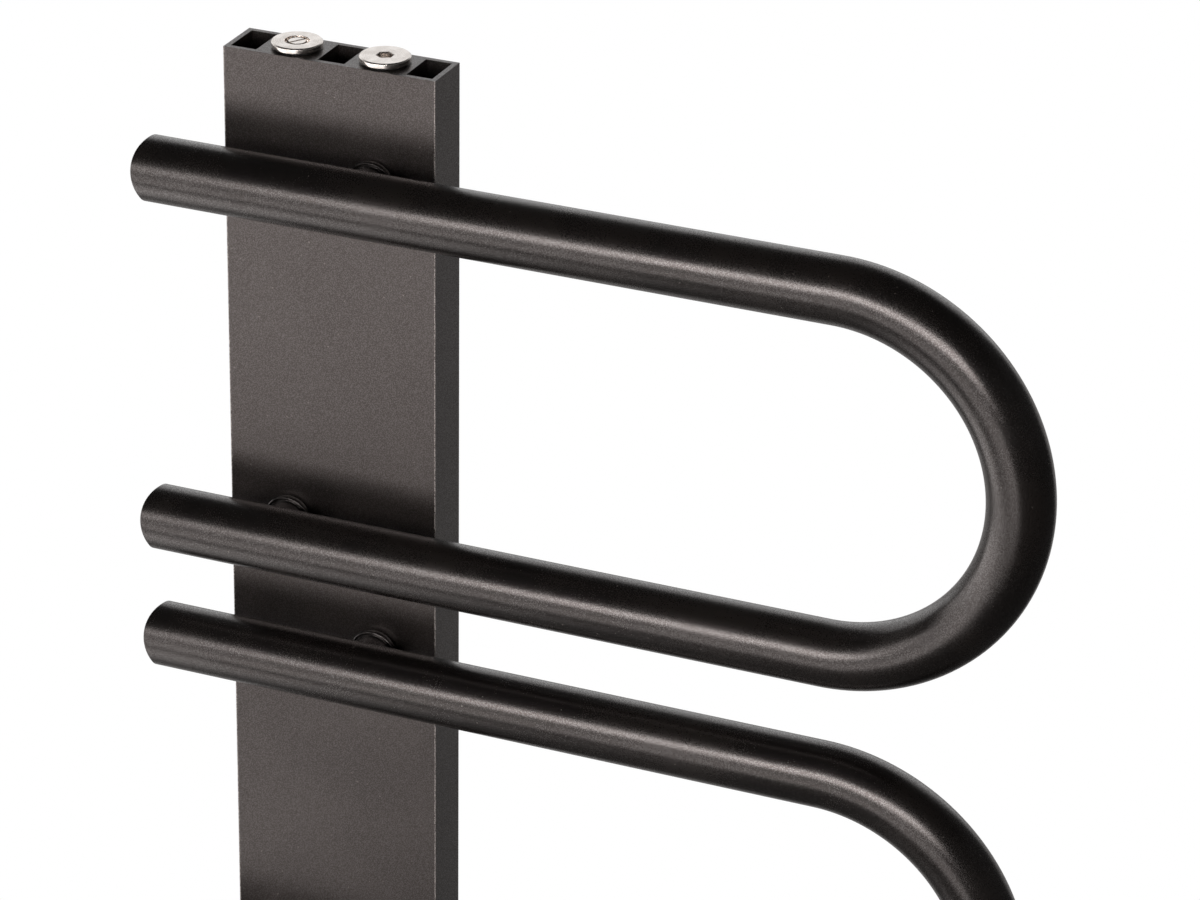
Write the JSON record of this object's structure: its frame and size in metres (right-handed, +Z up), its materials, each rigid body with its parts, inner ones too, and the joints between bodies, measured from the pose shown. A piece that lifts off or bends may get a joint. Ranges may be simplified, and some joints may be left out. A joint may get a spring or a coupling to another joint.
{
  "type": "towel warmer rack",
  "caption": "Wall-hung hot-water towel warmer: flat black upright column with round hairpin tube loops in front, plugged ports on top and open pipe ports below.",
  "frame": {"origin": "on the wall plane, at the middle of the four wall holes, behind the middle of the column", "axes": "+Z up along the column, +Y into the wall, +X towards the loops' bends; the rack's front faces -Y"},
  "size_m": [0.5055, 0.1205, 1.1378],
  "materials": {
    "black_coat": "fine-textured black powder coat, satin",
    "nickel": "bright nickel plate, finely turned",
    "zinc_steel": "zinc plate, satin",
    "seal_rubber": "matt black rubber",
    "needle_brass": "turned brass",
    "bracket_coat": "black powder coat, satin"
  },
  "bodies": {
    "wall_brackets": {"upper_bracket_plate": "bracket_coat", "upper_grub_screw": "zinc_steel", "lower_bracket_plate": "bracket_coat", "lower_grub_screw": "zinc_steel"},
    "rack": {"column": "black_coat", "loop_1_tube": "black_coat", "loop_1_upper_cap": "black_coat", "loop_1_upper_boss": "black_coat", "loop_1_lower_cap": "black_coat", "loop_1_lower_boss": "black_coat", "loop_2_tube": "black_coat", "loop_2_upper_cap": "black_coat", "loop_2_upper_boss": "black_coat", "loop_2_lower_cap": "black_coat", "loop_2_lower_boss": "black_coat", "loop_3_tube": "black_coat", "loop_3_upper_cap": "black_coat", "loop_3_upper_boss": "black_coat", "loop_3_lower_cap": "black_coat", "loop_3_lower_boss": "black_coat", "loop_4_tube": "black_coat", "loop_4_upper_cap": "black_coat", "loop_4_upper_boss": "black_coat", "loop_4_lower_cap": "black_coat", "loop_4_lower_boss": "black_coat", "boss_seals": "seal_rubber", "hollow_bolts": "zinc_steel", "bolt_washers": "seal_rubber", "vent_plug": "nickel", "vent_plug_seal": "seal_rubber", "blind_plug": "nickel", "blind_plug_seal": "seal_rubber", "upper_bracket_pin": "zinc_steel", "upper_nut_plate": "zinc_steel", "lower_bracket_pin": "zinc_steel", "lower_nut_plate": "zinc_steel"},
    "needle": {"vent_needle": "needle_brass"},
    "screw": {"vent_screw": "nickel"}
  },
  "joints": [
    {"name": "depth_adjust", "type": "slide", "parent": "wall_brackets", "child": "rack", "axis": [0, -1, 0], "range_m": [0, 0.015]},
    {"name": "vent_lift", "type": "slide", "parent": "rack", "child": "needle", "axis": [0, 0, 1], "range_m": [0, 0.0012]},
    {"name": "vent_turn", "type": "hinge", "parent": "needle", "child": "screw", "pos_m": [-0.025, -0.06, 0.567], "axis": [0, 0, 1], "range_deg": [0, 540]}
  ],
  "couplings": [
    {"joint": "vent_turn", "follows": "vent_lift", "rad_per_m": 7854}
  ]
}
